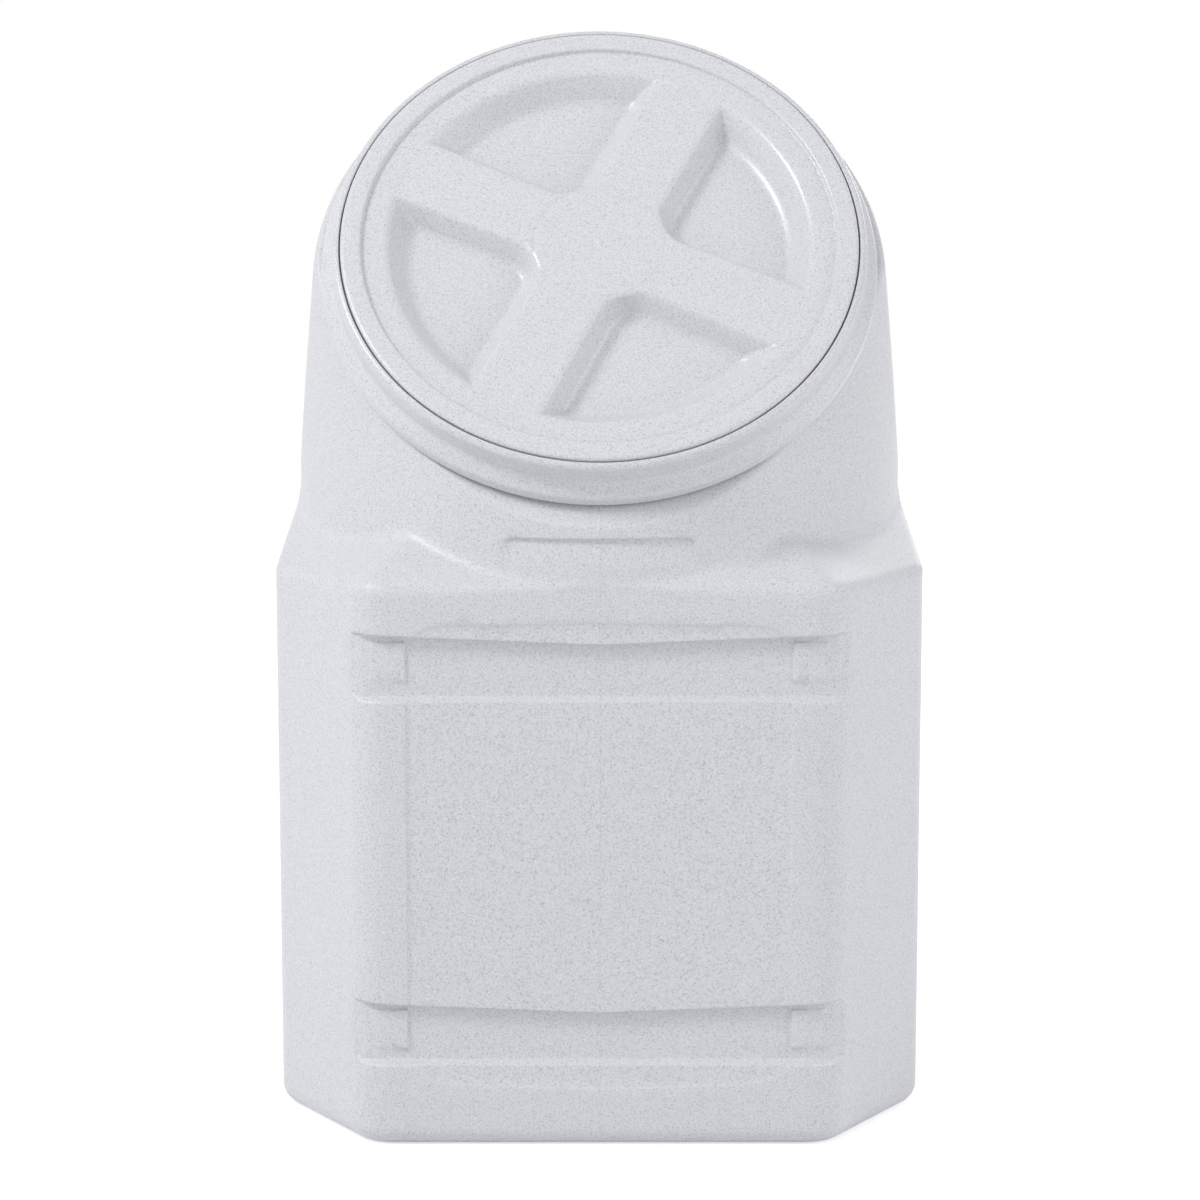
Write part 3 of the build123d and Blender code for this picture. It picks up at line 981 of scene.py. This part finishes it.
class CONTAINER_OT_body(bpy.types.Operator):
    """Moulded container with its hollow, channels, label panel and neck"""

    bl_idname = "container.body"
    bl_label = "Container body"

    def execute(self, context):
        sizes = context.scene.container_sizes
        finish = context.scene.container_finish
        cell = sizes.body_cell * 1.0

        def outside(x, y, z):
            return body_field(x, y, z, sizes)

        def inside(x, y, z):
            return cavity_field(x, y, z, sizes)

        def grid(step, fine):
            """Axes of the step, with a third of it in the fine stretches."""
            axes = []
            for low, high, dense in zip(body_low - 2 * step, body_high + 2 * step, fine):
                line = [low]
                while line[-1] < high:
                    near = any(a - step < line[-1] < b for a, b in dense)
                    line.append(line[-1] + (step / 3 if near else step))
                axes.append(np.array(line))
            return axes

        # Fine stretches of the mesh, where channels, label panel and ledge have their edges
        levels = [(low - 2, low + 4) for low, _ in CHANNEL_LEVELS]
        levels += [(high - 2, high + 7) for _, high in CHANNEL_LEVELS]
        levels += [(LABEL_BOTTOM - 1, LABEL_BOTTOM + 4), (LABEL_TOP - 2, LABEL_TOP + 1)]
        levels += [(GRIP_TOP - 2, GRIP_TOP + 1)]
        edges = [(s * LABEL_HALF - 1.5, s * LABEL_HALF + 1.5) for s in (-1, 1)]
        fine = (edges, [(FRONT_Y - 1, FRONT_Y + CHANNEL_DEPTH)], levels)
        points, quads = surface_net(outside, grid(cell, fine))
        made = mesh_object("container_body_shell", settle_on(outside, points, cell), quads)
        thin_out(made, BODY_TRIANGLES)
        settle_object(made, outside, cell / 3)
        points, quads = surface_net(inside, grid(3 * sizes.body_cell, ((), (), ())))
        cutter = mesh_object("cavity", settle_on(inside, points, 2 * sizes.body_cell), quads)
        cut_away(made, cutter)
        material = speckled_plastic("moulded_body_plastic", finish, 0.42, 900.0, seam=True)
        finish_piece(made, "container", "container_body", material)
        return {"FINISHED"}


class CONTAINER_OT_collar(bpy.types.Operator):
    """Threaded collar that snaps over the neck, with its inside thread"""

    bl_idname = "container.collar"
    bl_label = "Threaded collar"

    def execute(self, context):
        sizes = context.scene.container_sizes
        finish = context.scene.container_finish
        # Corners as radius, level and rounding, from the bore over the rim and down the outside
        corners = (
            (COLLAR_BORE, -SEAT_LEVEL, 0.5),
            (RIM_RADIUS, -SEAT_LEVEL, 0.4),
            (RIM_RADIUS, -RIM_DROP, 0.5),
            (COLLAR_RADIUS, -RIM_DROP, 3.0),
            (COLLAR_RADIUS, -FLARE_TOP, 4.0),
            (FLARE_RADIUS, -FLARE_FOOT, 3.0),
            (FLARE_RADIUS, -COLLAR_BOTTOM, 1.6),
            (FLARE_RADIUS - FLARE_WALL, -COLLAR_BOTTOM, 0.8),
            (FLARE_RADIUS - FLARE_WALL, -FLARE_FOOT, 1.0),
            (SKIRT_BORE, -FLARE_FOOT, 0.5),
            (SKIRT_BORE, -BEAD_LEVEL - 1.5, 0.3),
            (SKIRT_BORE + BEAD_HEIGHT, -BEAD_LEVEL - 0.5, 0.3),
            (SKIRT_BORE + BEAD_HEIGHT, -BEAD_LEVEL + 0.5, 0.3),
            (SKIRT_BORE, -BEAD_LEVEL + 1.5, 0.3),
            (SKIRT_BORE, -WEB_UNDERSIDE, 0.4),
            (COLLAR_INNER, -WEB_UNDERSIDE, 0.4),
            (COLLAR_INNER, -COLLAR_BOTTOM, 0.6),
            (COLLAR_BORE, -COLLAR_BOTTOM, 0.6),
        )
        material = speckled_plastic("collar_plastic", finish, 0.30, 1500.0)
        ring = turned_ring("threaded_collar_ring", corners, sizes.turn_steps)
        finish_piece(ring, "container", "threaded_collar", material)
        # Half a turn off the lid's ridge
        phase = 2 * math.pi * ((LID_THREAD_LOW - COLLAR_THREAD_LOW) / THREAD_LEAD - 0.5)
        ridge = thread_ridge(
            "collar_thread_ridge", COLLAR_BORE, -THREAD_HEIGHT, COLLAR_THREAD_LOW, phase, material
        )
        finish_piece(ridge, "container", None, material)
        return {"FINISHED"}


class CONTAINER_OT_lid(bpy.types.Operator):
    """Screw lid with its recess, cross-shaped handle, skirt and outside thread"""

    bl_idname = "container.lid"
    bl_label = "Screw lid"

    def execute(self, context):
        sizes = context.scene.container_sizes
        finish = context.scene.container_finish
        cell = sizes.lid_cell * 1.0
        reach = FLANGE_RADIUS + 3 * cell
        flat = np.arange(-reach, reach, cell)
        down = np.arange(-SKIRT_LENGTH - 3 * cell, 3 * cell, cell * 0.8)
        points, quads = surface_net(lid_field, (flat, flat, down))
        points = settle_on(lid_field, points, cell)
        made = mesh_object("screw_lid_moulding", points, quads)
        thin_out(made, LID_TRIANGLES)
        settle_object(made, lid_field, cell / 3)
        write_points(made, lid_to_frame(read_points(made) / MILLIMETRE))
        face_outwards(made)
        material = speckled_plastic("lid_plastic", finish, 0.30, 1500.0, lighter=1.02)
        finish_piece(made, "lid", "screw_lid", material)
        ridge = thread_ridge(
            "lid_thread_ridge", SKIRT_OUTSIDE, THREAD_HEIGHT, LID_THREAD_LOW, 0.0, material
        )
        finish_piece(ridge, "lid", None, material)
        return {"FINISHED"}


class CONTAINER_OT_seals(bpy.types.Operator):
    """Rubber seal under the lid's flange and seal on top of the neck"""

    bl_idname = "container.seals"
    bl_label = "Seals"

    def execute(self, context):
        sizes = context.scene.container_sizes
        rubber = seal_rubber(context.scene.container_finish)
        rows = (
            ("lid_seal_ring", "seal_ring", "lid_seal",
             SEAL_RADIUS, SEAL_WIDTH, SEAT_LEVEL, SEAL_HEIGHT),
            ("collar_seal_ring", "container", "collar_seal",
             COLLAR_SEAL_RADIUS, COLLAR_SEAL_WIDTH, SPIGOT_TOP, COLLAR_SEAL_HEIGHT),
        )
        for name, body, node, radius, width, level, height in rows:
            rounding = height * SEAL_ROUNDING
            corners = [
                (radius + a * width / 2, -level + b * height, rounding)
                for a, b in ((-1, 0), (1, 0), (1, 1), (-1, 1))
            ]
            ring = turned_ring(name, corners, sizes.turn_steps)
            finish_piece(ring, body, node, rubber)
        return {"FINISHED"}


# The stage, in metres and watts

FRONT = FRONT_Y * MILLIMETRE
FLOOR_HALF = 14.0
FLOOR_GREY = 0.80
FLOOR_GLOW = 0.56
WORLD_LIGHT = 0.55

# Name, place, aimed height, size and power
LAMPS = (
    ("key_light", (-1.6, FRONT - 0.9, 2.1), 0.3, 0.8, 32.0),
    ("low_light", (-2.2, FRONT - 0.9, 0.5), 0.2, 1.4, 4.5),
    ("fill_light", (2.1, FRONT - 0.9, 0.9), 0.28, 1.8, 17.0),
    ("back_light", (0.9, 2.4 - FRONT, 1.3), 0.25, 1.8, 18.0),
)

CAMERA_DISTANCE = 1.6
CAMERA_PITCH = math.radians(8.3)
CAMERA_AIM_HEIGHT = 0.28346
CAMERA_ASIDE = 0.0003
CAMERA_LENS = 96.0


class CONTAINER_OT_stage(bpy.types.Operator):
    """Pale floor, soft studio light and the camera"""

    bl_idname = "container.stage"
    bl_label = "Stage"

    def execute(self, context):
        scene = context.scene
        self.add_floor()
        self.add_world(scene)
        for lamp in LAMPS:
            self.add_lamp(scene, *lamp)
        self.add_camera(scene)
        scene.view_settings.view_transform = "Standard"
        return {"FINISHED"}

    def add_camera(self, scene):
        camera = bpy.data.cameras.new("camera")
        camera.lens = CAMERA_LENS
        camera.sensor_width = 36.0
        camera.clip_end = 60.0
        holder = bpy.data.objects.new("camera", camera)
        holder.location = (
            CAMERA_ASIDE,
            FRONT - CAMERA_DISTANCE * math.cos(CAMERA_PITCH),
            CAMERA_AIM_HEIGHT + CAMERA_DISTANCE * math.sin(CAMERA_PITCH),
        )
        holder.rotation_euler = (math.pi / 2 - CAMERA_PITCH, 0.0, 0.0)
        scene.collection.objects.link(holder)
        scene.camera = holder

    def add_floor(self):
        corners = np.array([(-1, -1, 0), (1, -1, 0), (1, 1, 0), (-1, 1, 0)]) * FLOOR_HALF
        floor = mesh_object("floor", corners / MILLIMETRE, [(0, 1, 2, 3)])
        paper = bpy.data.materials.new("floor_paper")
        shader = Shader(paper)
        shader.feed(
            Base_Color=(FLOOR_GREY, FLOOR_GREY, FLOOR_GREY, 1.0),
            Roughness=0.9,
            Specular_IOR_Level=0.0,
            Emission_Color=shader.seen_directly(),
            Emission_Strength=FLOOR_GLOW,
        )
        floor.data.materials.append(paper)

    def add_world(self, scene):
        world = bpy.data.worlds.new("studio")
        shader = Shader(world, "BACKGROUND")
        seen = shader.seen_directly()
        shader.feed(
            Color=(1.0, 1.0, 1.0, 1.0), Strength=seen * (1.0 - WORLD_LIGHT) + WORLD_LIGHT
        )
        scene.world = world

    def add_lamp(self, scene, name, place, aimed_height, size, power):
        lamp = bpy.data.lights.new(name, "AREA")
        lamp.shape = "DISK"
        lamp.size = size
        lamp.energy = power
        holder = bpy.data.objects.new(name, lamp)
        away = np.array(place) - np.array([0.0, 0.0, aimed_height])
        holder.location = place
        turn = math.atan2(away[0], -away[1])
        tilt = math.atan2(math.hypot(away[0], away[1]), away[2])
        holder.rotation_euler = (tilt, 0.0, turn)
        scene.collection.objects.link(holder)


class CONTAINER_PT_panel(bpy.types.Panel):
    """Lists the container's pieces and sizes"""

    bl_idname = "CONTAINER_PT_panel"
    bl_label = "Container"
    bl_space_type = "VIEW_3D"
    bl_region_type = "UI"
    bl_category = "Container"

    def draw(self, context):
        for group in (context.scene.container_sizes, context.scene.container_finish):
            for name in group.__annotations__:
                self.layout.prop(group, name)
        for operator in OPERATORS:
            self.layout.operator(operator.bl_idname)


OPERATORS = (
    CONTAINER_OT_body,
    CONTAINER_OT_collar,
    CONTAINER_OT_lid,
    CONTAINER_OT_seals,
    CONTAINER_OT_stage,
)
CLASSES = (ContainerSizes, ContainerFinish, *OPERATORS, CONTAINER_PT_panel)


def register():
    for made in CLASSES:
        bpy.utils.register_class(made)
    bpy.types.Scene.container_sizes = bpy.props.PointerProperty(type=ContainerSizes)
    bpy.types.Scene.container_finish = bpy.props.PointerProperty(type=ContainerFinish)


def unregister():
    del bpy.types.Scene.container_finish
    del bpy.types.Scene.container_sizes
    for made in reversed(CLASSES):
        bpy.utils.unregister_class(made)


def main():
    register()
    bpy.ops.container.body()
    bpy.ops.container.collar()
    bpy.ops.container.lid()
    bpy.ops.container.seals()
    bpy.ops.container.stage()


if __name__ == "__main__":
    main()
